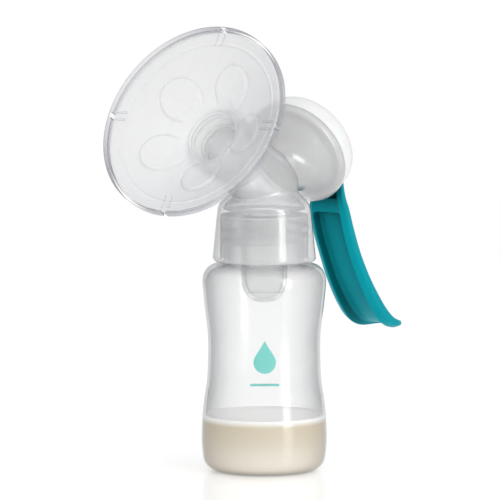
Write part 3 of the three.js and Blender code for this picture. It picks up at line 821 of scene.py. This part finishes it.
SPIGOT_R = 12.4
SPIGOT_WALL, SLEEVE_WALL = 1.3, 1.3
BORE_R = SPIGOT_R - SPIGOT_WALL
NECK_OUT, NECK_IN = 15.2, 13.7
shield_profile = [
    (BORE_R, 20), (SPIGOT_R, 20), (SPIGOT_R, MOUTH + 0.4), (NECK_OUT, MOUTH + 0.4, 0.5),
    (NECK_OUT, 43.6, 2),
    (17, back_of_shield(17), 3), (30, back_of_shield(30)), (42.2, back_of_shield(42.2), 1),
    (RIM_R, back_of_shield(RIM_R) + 0.4, 0.5), (RIM_R, front_of_shield(RIM_R), 0.5), (30, front_of_shield(30)),
    (17, front_of_shield(17), 2), (14.9, 46.3, 1.2), (NECK_IN, 44.6, 1), (NECK_IN, 38.9, 0.6),
    (BORE_R, 37.3, 0.6),
]
shield = turned("shield_funnel", eased(shield_profile, 0.35), SHIELD_AXIS, segments=160)
settle(shield, "shield", CLEAR_SHIELD, "breast_shield")

# ---------- massage cushion ----------
SLEEVE_R = BORE_R - GAP
THROAT_R = SLEEVE_R - SLEEVE_WALL
PETALS, PETAL_PHASE, PETAL_ORBIT, PETAL_R = 5, 38, 22, 9.3
TAIL_ORBIT, TAIL_R = 12.5, 3.4
PETAL_RISE, PETAL_GROOVE = 0.9, 0.42


def petal_distance(x, y):
    """mm from a point of the funnel's front, seen from the front, to the nearest petal's outline."""
    best = math.inf
    for i in range(PETALS):
        a = math.radians(90 - PETAL_PHASE + 360 / PETALS * i)
        u = x * math.cos(a) + y * math.sin(a)
        v = abs(-x * math.sin(a) + y * math.cos(a))
        # a round cone from the petal's centre to its tail
        along, across = PETAL_ORBIT - u, v
        length = PETAL_ORBIT - TAIL_ORBIT
        lean = (PETAL_R - TAIL_R) / length
        side = math.sqrt(1 - lean * lean)
        k = along * side - across * lean
        if k < 0:
            d = math.hypot(along, across) - PETAL_R
        elif k > side * length:
            d = math.hypot(along - length, across) - TAIL_R
        else:
            d = along * lean + across * side - PETAL_R
        best = min(best, d)
    return best


def petals(r, z, a):
    """Raises the petals on the front of the cushion, inside a fine groove."""
    if r < 13.2 or r > 40 or z < back_of_cushion(r) + 0.8:
        return r, z
    d = petal_distance(r * math.cos(a), r * math.sin(a))
    rise = PETAL_RISE * (1 - smoothstep(-0.9, 0.1, d)) - PETAL_GROOVE * math.exp(-((d - 0.35) / 0.4) ** 2)
    rise *= smoothstep(13.6, 17.5, r)
    return r, z + rise / LEAN


THROAT_MOUTH_R, THROAT_WALL_R, RIDGE = 12.7, 12, 0.7


def ridges(r, *heights):
    """Soft rings round the inside of the throat."""
    out = []
    for t in heights:
        out += [(r, t + 0.9, 0.3), (r - RIDGE, t + 0.35, 0.4), (r - RIDGE, t - 0.35, 0.4), (r, t - 0.9, 0.3)]
    return out


NECK_R_CUSHION, BEAD_R = NECK_IN - GAP, 38.4
cushion_profile = [
    (SLEEVE_R, 32), (SLEEVE_R, 37.4, 0.6), (NECK_R_CUSHION, 39.1, 0.6), (NECK_R_CUSHION, 44.8, 1),
    (14.6, 46.7, 1), (17, back_of_cushion(17)), (30, back_of_cushion(30)),
    (CUSHION_R - 0.3, back_of_cushion(CUSHION_R - 0.3), 0.2),
    (CUSHION_R, back_of_cushion(CUSHION_R) + 0.3, 0.3), (CUSHION_R, front_of_cushion(CUSHION_R), 0.5),
    (BEAD_R + 0.8, front_of_cushion(BEAD_R + 0.8), 0.3),
    (BEAD_R + 0.3, front_of_cushion(BEAD_R) + 0.35, 0.3), (BEAD_R - 0.3, front_of_cushion(BEAD_R) + 0.3, 0.3),
    (BEAD_R - 0.8, front_of_cushion(BEAD_R - 0.8), 0.3), (30, front_of_cushion(30)),
    (17, front_of_cushion(17), 2), (14, 48.2, 0.7), (THROAT_MOUTH_R, 47.2, 0.7), (THROAT_WALL_R, 46.2, 0.6),
    *ridges(THROAT_WALL_R, 44.4, 42.0), (THROAT_WALL_R, 40.4, 0.4), (THROAT_R, 38.8, 0.4),
    *ridges(THROAT_R, 36.8, 34.6), (THROAT_R, 32),
]
cushion_outline = eased(cushion_profile, 0.35)
dense = [cushion_outline[0]]
for a, b in zip(cushion_outline, cushion_outline[1:]):
    on_front = all(p.x > 12.8 and p.y > back_of_cushion(p.x) + 0.5 for p in (a, b))
    cuts_here = math.ceil((b - a).length / 0.4) if on_front else 1
    dense.extend(a.lerp(b, k / cuts_here) for k in range(1, cuts_here + 1))
cushion = turned("cushion_petals", dense, SHIELD_AXIS, segments=360, shape=petals, sharp=60)
settle(cushion, "cushion", SILICONE, "massage_cushion")

# ---------- dust cover ----------
COVER_R, COVER_T, SKIRT_FOOT = 45, 1.2, 58.8
UNDER = 62.2
FRONT = UNDER + COVER_T
cover = turned(
    "cover_lid",
    eased([
        (0, UNDER), (RIM_R + GAP, UNDER, 0.3), (RIM_R + GAP, SKIRT_FOOT), (COVER_R, SKIRT_FOOT, 0.3),
        (COVER_R, FRONT - 0.3, 0.7), (COVER_R - 0.3, FRONT, 0.7), (0, FRONT),
    ], 0.4, closed=False), SHIELD_AXIS, closed=False, segments=180,
)
NOTCH_W, RIB_W, RIB_H, RIB_IN, RIB_OUT = 2.6, 0.8, 1.1, 36.4, 41.9


def bar(name, r0, r1, y0, y1, z0, z1, turn, bevel=0.0):
    """A bar along a radius of the shield axis, turned about it."""
    verts = [(x, y, z) for z in (z0, z1) for x, y in ((r0, y0), (r1, y0), (r1, y1), (r0, y1))]
    faces = [[3, 2, 1, 0], [4, 5, 6, 7], [0, 1, 5, 4], [1, 2, 6, 5], [2, 3, 7, 6], [3, 0, 4, 7]]
    piece = piece_from(name, verts, faces, SHIELD_AXIS @ Matrix.Rotation(math.radians(turn), 4, "Z"))
    if bevel:
        soften(piece, bevel, 2)
    return piece


notches, ribs = [], []
for turn in range(0, 360, 90):
    half = NOTCH_W / 2
    notches.append(bar("notch", RIM_R - 0.6, COVER_R + 1, -half, half, SKIRT_FOOT - 1, UNDER, turn))
    for y in (-half - RIB_W, half):
        ribs.append(bar("rib", RIB_IN, RIB_OUT, y, y + RIB_W, UNDER - RIB_H, UNDER + 0.4, turn, 0.2))
combine(cover, notches, "DIFFERENCE")
combine(cover, ribs, "UNION")
cover.data.set_sharp_from_angle(angle=math.radians(30))
settle(cover, "cover", CLEAR_COVER, "dust_cover")
# the side wall takes the material with the painted dark outline
cover.data.materials.append(COVER_WALL)
cover_axis = SHIELD_AXIS.to_3x3() @ Vector((0, 0, 1))
for face in cover.data.polygons:
    out = face.center - SHIELD_AXIS.translation
    out -= cover_axis * out.dot(cover_axis)
    is_wall = abs(face.normal.dot(cover_axis)) < 0.6 and out.length > (RIB_OUT + 0.3) * MM
    face.material_index = int(is_wall)

# ---------- diaphragm, stem, cap and pin ----------
diaphragm = turned(
    "diaphragm_cup",
    eased([
        (2.5, 19.2), (9.6, 19.2, 0.8), (12, 20.3, 1), (15.6, 23.3, 1), (18.2, 25.7, 0.8), (18.8, 26.5),
        (22.9, 26.5), (22.9, 27.7), (18, 27.7), (17.1, 26.4, 0.8), (14.9, 24.3, 1), (11.5, 21.5, 1),
        (9.3, 20.4, 0.8), (2.5, 20.4),
    ], 0.3), CHAMBER_AXIS, segments=96,
)
diaphragm.data.materials.append(SILICONE)
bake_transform(diaphragm)
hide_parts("diaphragm")

PIVOT_S, PIVOT_DROP = 45, 18
STEM_R, STEM_FLANGE_R, STEM_STOP_R, STEM_HEAD_R = 2.2, 5, 2.9, 4.5
stem = turned(
    "stem_rod",
    eased([
        (0, 17.3), (4.4, 17.3), (STEM_FLANGE_R, 17.9), (STEM_FLANGE_R, 18.9), (STEM_R, 18.9),
        (STEM_R, 20.7), (STEM_FLANGE_R, 20.7), (4.6, 21.9), (STEM_R, 22.6), (STEM_R, 42.5),
        (STEM_STOP_R, 42.5), (STEM_STOP_R, 43.4), (STEM_R, 43.4), (STEM_R, 46.6), (STEM_HEAD_R, 46.6),
        (STEM_HEAD_R, 47.8, 0.6), (3.5, 48.6, 0.6), (0, 48.9),
    ], 0.25, closed=False), CHAMBER_AXIS, closed=False, segments=64,
)
settle(stem, "stem", WHITE, "diaphragm_stem")

cap_room = [  # the cap's inner side, from its spigot to the middle
    (21.2, 31, 0.6), (22.7, 33, 1), (22.3, 35.8, 1), (21.2, 37.8, 1.2), (18.8, 39.2, 1.5), (14.6, 39.9, 1.5),
]
cap_profile = [
    (22.8, 28), (22.8, 29.7), (24.3, 29.7, 0.3), (24.4, 33, 1), (23.9, 36.3, 1.6), (22.5, 38.9, 1.6),
    (19.9, 40.7, 1.6), (15.5, 41.5, 2), (3.4, 41.8, 0.4), (3.4, 40.2, 0.4), *reversed(cap_room), (21.2, 28),
]
cap = turned("cap_shell", eased(cap_profile, 0.3), CHAMBER_AXIS, segments=144)
LUG_R, LUG_T, LEVER_W = 3.2, 1.8, 16
PIN_R, PIN_HEAD_R, PIN_HEAD_T = 1.6, 2.8, 1.2
LUG_IN = LEVER_W / 2 + 0.4
lug_end = reversed(circle(PIVOT_DROP, PIVOT_S, LUG_R, 20, 0, 180))
lug_outline = [(11.5, 40.6), *lug_end, (21.2, 40), (19.5, 38.6), (17, 39.6)]
lugs = [plate("lug", lug_outline, y, y + LUG_T, CHAMBER_AXIS, 0.4) for y in (-LUG_IN - LUG_T, LUG_IN)]
combine(cap, lugs, "UNION")
inside_again = turned(
    "cap_room",
    eased([(0, 27), (21.2, 27), *cap_room, (0, 40.1)], closed=False),
    CHAMBER_AXIS, closed=False, segments=144,
)
pin_hole = plate("pin_hole", circle(PIVOT_DROP, PIVOT_S, PIN_R + GAP, 32), -14, 14, CHAMBER_AXIS, 0)
combine(cap, [inside_again, pin_hole], "DIFFERENCE")
cap.data.set_sharp_from_angle(angle=math.radians(30))
settle(cap, "cap", FROSTED, "chamber_cap")

PIVOT = Matrix.Translation(Vector((PIVOT_DROP, 0, PIVOT_S)) * MM)
PIN_AXIS = CHAMBER_AXIS @ PIVOT @ Matrix.Rotation(math.radians(-90), 4, "X")
PIN_END = LUG_IN + LUG_T + 0.3
pin = turned(
    "pin_rivet",
    eased([
        (0, -PIN_END), (PIN_R, -PIN_END, 0.4), (PIN_R, PIN_END - 0.1), (PIN_HEAD_R, PIN_END - 0.1, 0.2),
        (PIN_HEAD_R, PIN_END + 0.8, 0.5), (2, PIN_END + PIN_HEAD_T, 0.4), (0, PIN_END + PIN_HEAD_T),
    ], 0.3, closed=False),
    PIN_AXIS, closed=False, segments=48,
)
settle(pin, "cap", WHITE, "pivot_pin")

# ---------- handle ----------
# seen from the side: outer face x and z, depth of the side walls, half width
SPINE = [
    (51.3, 131.6, 3.2, 8), (50.9, 126, 3.7, 8), (51.4, 118.5, 4.8, 8.9), (52.9, 112.6, 5.6, 10),
    (56.2, 103.5, 6.1, 10.3), (61.4, 92.3, 6.1, 10.4), (68.1, 80.8, 6.2, 10.9), (75.9, 70.7, 6.6, 11.2),
    (82.7, 63.9, 6.4, 11.2), (89.5, 59.7, 4.4, 11), (99.5, 57.4, 1.5, 11),
]
HEAD_FOOT, HEAD_TOP = 112, 118.5  # the channel is filled in between these heights
TIP_R = 11
CHANNEL_FLOOR, LIP_W, LIP_DROP = 2.0, 2.6, 1.4  # the channel's lips slope outwards by LIP_DROP


def catmull(points, per_span):
    """A smooth curve through the points, even in step within each span."""
    pts = [Vector(p) for p in points]
    pts = [pts[0] * 2 - pts[1], *pts, pts[-1] * 2 - pts[-2]]
    out = []
    for p0, p1, p2, p3 in zip(pts, pts[1:], pts[2:], pts[3:]):
        for k in range(per_span):
            t = k / per_span
            squared = (2 * p0 - 5 * p1 + 4 * p2 - p3) * t**2
            cubed = (3 * p1 - p0 - 3 * p2 + p3) * t**3
            out.append(0.5 * (2 * p1 + (p2 - p0) * t + squared + cubed))
    return [*out, pts[-2]]


def handle_section(w, d, filled):
    """Half of the channel's section as (y, n): y across from the middle, n in from the outer face.
    `filled` runs from 0, an open channel, to 1, where the handle is solid."""
    open_floor = min(CHANNEL_FLOOR, 0.55 * d)
    floor = open_floor + (d - 0.5 - open_floor) * filled if d > 2.6 else open_floor
    lip = max(d, floor + 0.12)
    drop = min(LIP_DROP, 0.25 * d)
    k = w / TIP_R  # the section narrows with the rounded tip
    small = min(1, lip / 4)
    wall = lip - floor
    lip_in = w - LIP_W * k
    return [
        (0, 0), (0.6 * w, 0.04), (w - 1.1 * k, 0.22 * small), (w - 0.2 * k, 0.9 * small), (w, 1.8 * small),
        (w, lip - drop - 0.35 * small), (w - 0.3 * k, lip - drop + 0.05), (lip_in, lip),
        (lip_in - 0.45 * k, lip - 0.08 * small), (lip_in - 0.75 * k, lip - 0.25 * wall),
        (lip_in - 1.5 * k, floor + 0.2 * wall), (lip_in - 2.2 * k, floor + 0.04 * wall),
        (lip_in - 3.2 * k, floor), (0, floor),
    ]


def handle_mesh():
    """The lever as one skin: the section carried along the spine and rounded off at the tip."""
    curve = catmull(SPINE, 14)
    travelled = [0.0]
    for a, b in zip(curve, curve[1:]):
        travelled.append(travelled[-1] + math.hypot(b.x - a.x, b.y - a.y))
    verts, rings = [], []
    for i, at in enumerate(curve):
        ahead = curve[min(i + 1, len(curve) - 1)] - curve[max(i - 1, 0)]
        length = math.hypot(ahead.x, ahead.y)
        normal = (ahead.y / length, -ahead.x / length)
        past = max(0.0, 1 - (travelled[-1] - travelled[i]) / TIP_R)
        w = min(at.w, max(TIP_R * math.sqrt(max(1 - past * past, 0)), 0.9)) if past else at.w
        filled = smoothstep(HEAD_FOOT - 0.4, HEAD_FOOT + 0.3, at.y)
        filled *= smoothstep(HEAD_TOP + 0.4, HEAD_TOP - 0.4, at.y)
        side = eased(handle_section(w, at.z, filled), 0.4, 3, closed=False)
        whole = [*side, *[Vector((-p.x, p.y)) for p in reversed(side[1:-1])]]
        ring = []
        for y, n in whole:
            ring.append(len(verts))
            verts.append((at.x + normal[0] * n, y, at.y + normal[1] * n))
        rings.append(ring)
    faces = [rings[0][::-1], rings[-1]]
    for low, high in zip(rings, rings[1:]):
        for k in range(len(low)):
            m = (k + 1) % len(low)
            faces.append([low[k], low[m], high[m], high[k]])
    return piece_from("handle_lever", verts, faces, sharp=50)


handle = handle_mesh()
ARM, ARM_T, NUB_R, NUB_IN, BARREL_R = 2.2, 2, 1.2, 2.6, 2.6  # the fork that holds the stem
arm_outline = [
    (-ARM, PIVOT_S - 0.6), (-ARM + 0.6, PIVOT_S - ARM), (PIVOT_DROP, PIVOT_S - ARM),
    (PIVOT_DROP, PIVOT_S + 3), (4, PIVOT_S + ARM), (-ARM + 0.6, PIVOT_S + ARM), (-ARM, PIVOT_S + 0.6),
]
barrel_outline = circle(PIVOT_DROP, PIVOT_S, BARREL_R, 32)
extras = [plate("barrel", barrel_outline, -LEVER_W / 2, LEVER_W / 2, CHAMBER_AXIS, 0.3)]
for side in (-1, 1):
    y0, y1 = sorted((side * (LEVER_W / 2 - ARM_T), side * LEVER_W / 2))
    n0, n1 = sorted((side * NUB_IN, side * 6.2))
    extras.append(plate("arm", arm_outline, y0, y1, CHAMBER_AXIS, 0.4))
    extras.append(plate("nub", circle(0, PIVOT_S, NUB_R, 20), n0, n1, CHAMBER_AXIS, 0.2))
join(handle, *extras)
settle(handle, "handle", TEAL, "handle")

# ---------- camera ----------
CAMERA_AZIMUTH, CAMERA_ELEVATION, CAMERA_AWAY = -54.35, 6.2, 3.0
AIM_RIGHT, AIM_UP = -12.86 * MM, -2.38 * MM  # from the middle of the object's box
azimuth, elevation = math.radians(CAMERA_AZIMUTH), math.radians(CAMERA_ELEVATION)


def direction_to(turn, lift):
    """The direction from the object at an azimuth and a height above the horizon, in radians."""
    level = math.cos(lift)
    return Vector((math.sin(turn) * level, -math.cos(turn) * level, math.sin(lift)))


back = direction_to(azimuth, elevation)
right = Vector((math.cos(azimuth), math.sin(azimuth), 0))
up = back.cross(right)
aim = (cad_low + cad_high) / 2 + right * AIM_RIGHT + up * AIM_UP
camera = bpy.data.objects.new("camera", bpy.data.cameras.new("camera"))
camera.location = aim + back * CAMERA_AWAY
camera.rotation_mode = "QUATERNION"
camera.rotation_quaternion = (-back).to_track_quat("-Z", "Y")
FRAME_WIDTH, SENSOR = 222.2 * MM, 36  # what the frame takes in at the object, and the sensor's width
camera.data.sensor_width = SENSOR
camera.data.lens = SENSOR * CAMERA_AWAY / FRAME_WIDTH
camera.data.clip_end = 50
bpy.context.scene.collection.objects.link(camera)
bpy.context.scene.camera = camera

# ---------- floor, light ----------
bpy.context.scene.view_settings.view_transform = "Standard"
bpy.context.scene.cycles.transparent_max_bounces = 32
FLOOR_R, FLOOR_FADE, FLOOR_GLOW = 1.2, 0.5, 0.22


def floor_material():
    """Pale and faintly glossy, running out into the white backdrop."""
    n = Nodes("floor")
    pale = n.add(
        "ShaderNodeBsdfPrincipled", Base_Color=(0.93, 0.93, 0.93),
        Roughness=n.between(n.noise(60), 0.16, 0.2), Specular_IOR_Level=0.5,
        Emission_Color=(1, 1, 1), Emission_Strength=FLOOR_GLOW,
    ).outputs[0]
    far = n.add("ShaderNodeVectorMath", {"operation": "LENGTH"})
    n.set(far, "0", n.place)
    fade = n.between(far.outputs["Value"], 0, 1, FLOOR_FADE, FLOOR_R)
    return n.done(n.mix(fade, pale, n.add("ShaderNodeBsdfTransparent").outputs[0]))


floor = piece_from("floor", [(*p, 0) for p in circle(0, 0, FLOOR_R / MM, 64)], [list(range(64))])
floor.location.z = -0.05 * MM
floor.data.materials.append(floor_material())


def soft_light(name, turn, lift, away, width, height, power):
    """A softbox. turn is degrees to the right of the camera, lift degrees above the horizon."""
    light = bpy.data.lights.new(name, "AREA")
    light.shape, light.size, light.size_y, light.energy = "RECTANGLE", width, height, power
    lamp = bpy.data.objects.new(name, light)
    out = direction_to(azimuth + math.radians(turn), math.radians(lift))
    lamp.location = aim + out * away
    lamp.rotation_euler = out.to_track_quat("Z", "Y").to_euler()
    bpy.context.scene.collection.objects.link(lamp)
    return lamp


KEY_TURN = 43
soft_light("key", KEY_TURN, 25, 1.3, 0.9, 0.9, 3.2)
strip = soft_light("strip", KEY_TURN, 12, 1.2, 0.34, 1.1, 10)
strip.visible_diffuse = False
soft_light("top", 10, 75, 1.3, 1.6, 1.6, 3.2)

# the world is plain white where the camera sees it, and a little brighter from the right where it lights
DARK_SIDE, BRIGHT_SIDE = 0.95, 1.05
world = bpy.data.worlds.new("studio")
bpy.context.scene.world = world
world.use_nodes = True
tree = world.node_tree
tree.nodes.clear()
path = tree.nodes.new("ShaderNodeLightPath")
seen = tree.nodes.new("ShaderNodeBackground")
seen.inputs["Color"].default_value = (1, 1, 1, 1)
felt = tree.nodes.new("ShaderNodeBackground")
direction = tree.nodes.new("ShaderNodeTexCoord")
towards = tree.nodes.new("ShaderNodeVectorMath")
towards.operation = "DOT_PRODUCT"
towards.inputs[1].default_value = back.lerp(right, 0.6).normalized()
span = tree.nodes.new("ShaderNodeMapRange")
span.inputs["From Min"].default_value = -1
span.inputs["To Min"].default_value = DARK_SIDE
span.inputs["To Max"].default_value = BRIGHT_SIDE
choice = tree.nodes.new("ShaderNodeMixShader")
out = tree.nodes.new("ShaderNodeOutputWorld")
tree.links.new(direction.outputs["Generated"], towards.inputs[0])
tree.links.new(towards.outputs["Value"], span.inputs["Value"])
tree.links.new(span.outputs[0], felt.inputs["Strength"])
tree.links.new(path.outputs["Is Camera Ray"], choice.inputs[0])
tree.links.new(felt.outputs[0], choice.inputs[1])
tree.links.new(seen.outputs[0], choice.inputs[2])
tree.links.new(choice.outputs[0], out.inputs["Surface"])
